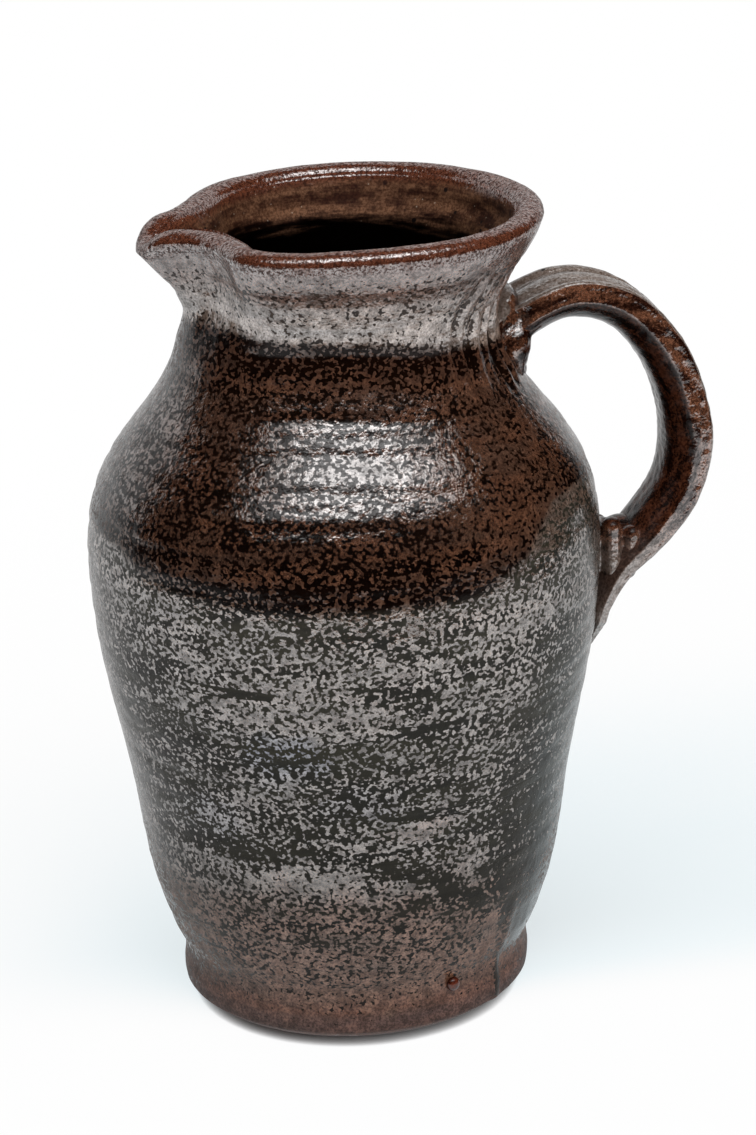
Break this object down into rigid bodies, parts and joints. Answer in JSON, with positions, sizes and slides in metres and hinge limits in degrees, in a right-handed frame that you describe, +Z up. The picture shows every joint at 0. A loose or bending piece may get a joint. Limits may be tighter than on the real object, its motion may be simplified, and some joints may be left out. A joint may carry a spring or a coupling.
{
  "type": "stoneware jug",
  "caption": "Thrown stoneware jug with a swelling belly, flared neck, pinched pouring spout and a pulled strap handle.",
  "frame": {"origin": "centre of the flat underside of the foot, at the height of the surface that the jug stands on", "axes": "+Z up along the jug's axis, the spout pours towards -X and the handle stands out towards +X"},
  "size_m": [0.1851, 0.15, 0.2403],
  "materials": {
    "body_glaze": "glossy speckled salt glaze",
    "handle_glaze": "glossy dark brown salt glaze",
    "iron_glaze": "glossy red-brown melt"
  },
  "bodies": {
    "root": {"thrown_body": "body_glaze", "handle_strap": "handle_glaze", "upper_join_wad": "handle_glaze", "lower_join_wad": "handle_glaze", "iron_bead": "iron_glaze"}
  },
  "joints": []
}
